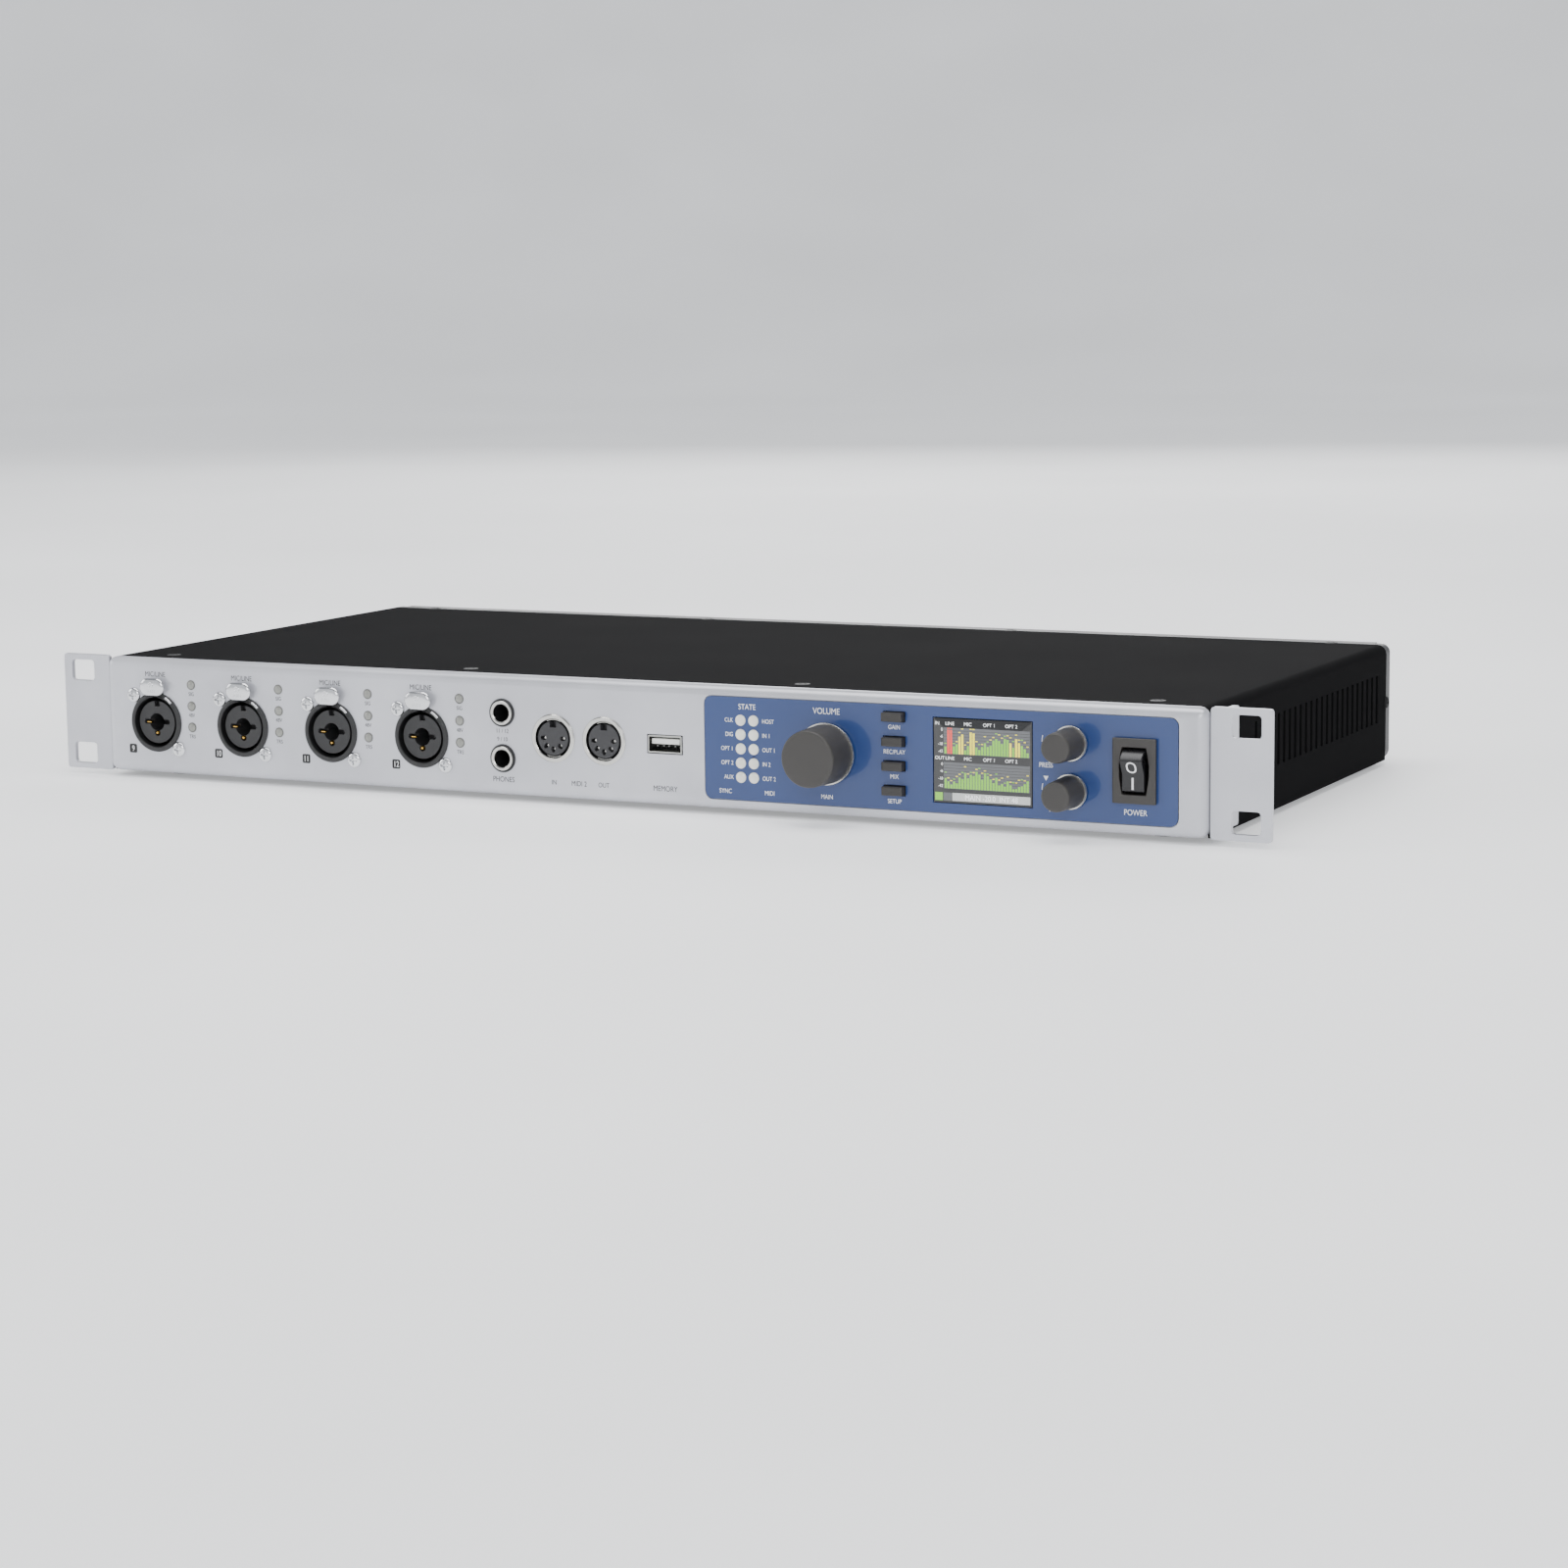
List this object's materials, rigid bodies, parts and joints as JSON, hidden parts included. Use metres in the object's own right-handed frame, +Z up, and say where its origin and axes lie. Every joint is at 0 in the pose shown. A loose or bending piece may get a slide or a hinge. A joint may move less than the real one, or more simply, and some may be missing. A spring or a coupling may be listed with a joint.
{
  "type": "rack audio interface",
  "caption": "Flat rack-mount audio interface: front panel with latched sockets, knobs, keys and a display, rear panel of audio and digital sockets, folded steel case, two rack ears.",
  "frame": {"origin": "Under the middle of the overall box, on the surface that the four feet stand on.", "axes": "+X to the right as seen from the front, +Y from the front panel to the rear panel, +Z up."},
  "size_m": [0.4826, 0.242, 0.046],
  "materials": {
    "black_coat": "satin",
    "dark_coat": "satin",
    "silver_coat": "satin",
    "blue_print": "gloss",
    "black_plastic": "satin",
    "knob_plastic": "satin",
    "bright_chrome": "polished",
    "plated_steel": "satin",
    "display_glass": "gloss",
    "circuit_board": "satin",
    "shutter_plastic": "satin",
    "rubber": "matte"
  },
  "bodies": {
    "housing": {"top_cover": "black_coat", "base_tray": "black_coat", "front_panel": "silver_coat", "control_overlay": "blue_print", "rear_panel": "dark_coat", "rack_ear_left": "silver_coat", "rack_ear_right": "silver_coat", "foot_front_left": "rubber", "foot_front_right": "rubber", "foot_rear_left": "rubber", "foot_rear_right": "rubber", "combo_socket_1": "black_plastic", "combo_socket_2": "black_plastic", "combo_socket_3": "black_plastic", "combo_socket_4": "black_plastic", "headphone_jacks": "black_plastic", "front_midi_socket_1": "black_plastic", "front_midi_socket_2": "black_plastic", "memory_port": "plated_steel", "display_module": "display_glass", "power_switch_housing": "black_plastic", "front_board": "circuit_board", "main_board": "circuit_board", "power_supply_board": "circuit_board", "mains_inlet": "black_plastic", "cable_retainer": "plated_steel", "rear_midi_socket_1": "black_plastic", "rear_midi_socket_2": "black_plastic", "host_port": "plated_steel", "remote_port": "plated_steel", "optical_housing_1": "black_plastic", "optical_housing_2": "black_plastic", "clock_socket_1": "plated_steel", "clock_socket_2": "plated_steel", "digital_out_socket": "black_plastic", "digital_in_socket": "black_plastic", "main_out_socket_1": "black_plastic", "main_out_socket_2": "black_plastic", "line_output_jacks": "black_plastic", "line_input_jacks": "black_plastic"},
    "volume_stem_body": {"volume_stem": "plated_steel"},
    "volume_knob_body": {"volume_knob": "knob_plastic"},
    "upper_encoder_stem_body": {"upper_encoder_stem": "plated_steel"},
    "upper_encoder_knob_body": {"upper_encoder_knob": "knob_plastic"},
    "lower_encoder_stem_body": {"lower_encoder_stem": "plated_steel"},
    "lower_encoder_knob_body": {"lower_encoder_knob": "knob_plastic"},
    "menu_button_1_body": {"menu_button_1": "knob_plastic"},
    "menu_button_2_body": {"menu_button_2": "knob_plastic"},
    "menu_button_3_body": {"menu_button_3": "knob_plastic"},
    "menu_button_4_body": {"menu_button_4": "knob_plastic"},
    "power_rocker_body": {"power_rocker": "black_plastic"},
    "combo_latch_1_body": {"combo_latch_1": "bright_chrome"},
    "combo_latch_2_body": {"combo_latch_2": "bright_chrome"},
    "combo_latch_3_body": {"combo_latch_3": "bright_chrome"},
    "combo_latch_4_body": {"combo_latch_4": "bright_chrome"},
    "digital_in_latch_body": {"digital_in_latch": "bright_chrome"},
    "optical_shutter_1_body": {"optical_shutter_1": "shutter_plastic"},
    "optical_shutter_2_body": {"optical_shutter_2": "shutter_plastic"},
    "optical_shutter_3_body": {"optical_shutter_3": "shutter_plastic"},
    "optical_shutter_4_body": {"optical_shutter_4": "shutter_plastic"}
  },
  "joints": [
    {"name": "volume_push", "type": "slide", "parent": "housing", "child": "volume_stem_body", "axis": [0, 1, 0], "range_m": [0, 0.0005], "stiffness_N_per_m": 600},
    {"name": "volume_turn", "type": "hinge", "parent": "volume_stem_body", "child": "volume_knob_body", "pos_m": [0.0828, -0.1048, 0.024], "axis": [0, 1, 0], "continuous": true},
    {"name": "upper_encoder_push", "type": "slide", "parent": "housing", "child": "upper_encoder_stem_body", "axis": [0, 1, 0], "range_m": [0, 0.0005], "stiffness_N_per_m": 600},
    {"name": "upper_encoder_turn", "type": "hinge", "parent": "upper_encoder_stem_body", "child": "upper_encoder_knob_body", "pos_m": [0.1727, -0.1048, 0.0321], "axis": [0, 1, 0], "continuous": true},
    {"name": "lower_encoder_push", "type": "slide", "parent": "housing", "child": "lower_encoder_stem_body", "axis": [0, 1, 0], "range_m": [0, 0.0005], "stiffness_N_per_m": 600},
    {"name": "lower_encoder_turn", "type": "hinge", "parent": "lower_encoder_stem_body", "child": "lower_encoder_knob_body", "pos_m": [0.1727, -0.1048, 0.0159], "axis": [0, 1, 0], "continuous": true},
    {"name": "menu_button_1_press", "type": "slide", "parent": "housing", "child": "menu_button_1_body", "axis": [0, 1, 0], "range_m": [0, 0.0008], "stiffness_N_per_m": 300},
    {"name": "menu_button_2_press", "type": "slide", "parent": "housing", "child": "menu_button_2_body", "axis": [0, 1, 0], "range_m": [0, 0.0008], "stiffness_N_per_m": 300},
    {"name": "menu_button_3_press", "type": "slide", "parent": "housing", "child": "menu_button_3_body", "axis": [0, 1, 0], "range_m": [0, 0.0008], "stiffness_N_per_m": 300},
    {"name": "menu_button_4_press", "type": "slide", "parent": "housing", "child": "menu_button_4_body", "axis": [0, 1, 0], "range_m": [0, 0.0008], "stiffness_N_per_m": 300},
    {"name": "power_rocker_tilt", "type": "hinge", "parent": "housing", "child": "power_rocker_body", "pos_m": [0.1954, -0.1038, 0.024], "axis": [-1, 0, 0], "range_deg": [0, 29.4]},
    {"name": "combo_latch_1_press", "type": "slide", "parent": "housing", "child": "combo_latch_1_body", "axis": [0, 1, 0], "range_m": [0, 0.0014], "stiffness_N_per_m": 500},
    {"name": "combo_latch_2_press", "type": "slide", "parent": "housing", "child": "combo_latch_2_body", "axis": [0, 1, 0], "range_m": [0, 0.0014], "stiffness_N_per_m": 500},
    {"name": "combo_latch_3_press", "type": "slide", "parent": "housing", "child": "combo_latch_3_body", "axis": [0, 1, 0], "range_m": [0, 0.0014], "stiffness_N_per_m": 500},
    {"name": "combo_latch_4_press", "type": "slide", "parent": "housing", "child": "combo_latch_4_body", "axis": [0, 1, 0], "range_m": [0, 0.0014], "stiffness_N_per_m": 500},
    {"name": "digital_in_latch_press", "type": "slide", "parent": "housing", "child": "digital_in_latch_body", "axis": [0, -1, 0], "range_m": [0, 0.0014], "stiffness_N_per_m": 500},
    {"name": "optical_shutter_1_swing", "type": "hinge", "parent": "housing", "child": "optical_shutter_1_body", "pos_m": [0.0572, 0.1023, 0.0373], "axis": [-1, 0, 0], "range_deg": [0, 75], "stiffness_Nm_per_rad": 0.002},
    {"name": "optical_shutter_2_swing", "type": "hinge", "parent": "housing", "child": "optical_shutter_2_body", "pos_m": [0.0438, 0.1023, 0.0373], "axis": [-1, 0, 0], "range_deg": [0, 75], "stiffness_Nm_per_rad": 0.002},
    {"name": "optical_shutter_3_swing", "type": "hinge", "parent": "housing", "child": "optical_shutter_3_body", "pos_m": [0.0304, 0.1023, 0.0373], "axis": [-1, 0, 0], "range_deg": [0, 75], "stiffness_Nm_per_rad": 0.002},
    {"name": "optical_shutter_4_swing", "type": "hinge", "parent": "housing", "child": "optical_shutter_4_body", "pos_m": [0.017, 0.1023, 0.0373], "axis": [-1, 0, 0], "range_deg": [0, 75], "stiffness_Nm_per_rad": 0.002}
  ]
}
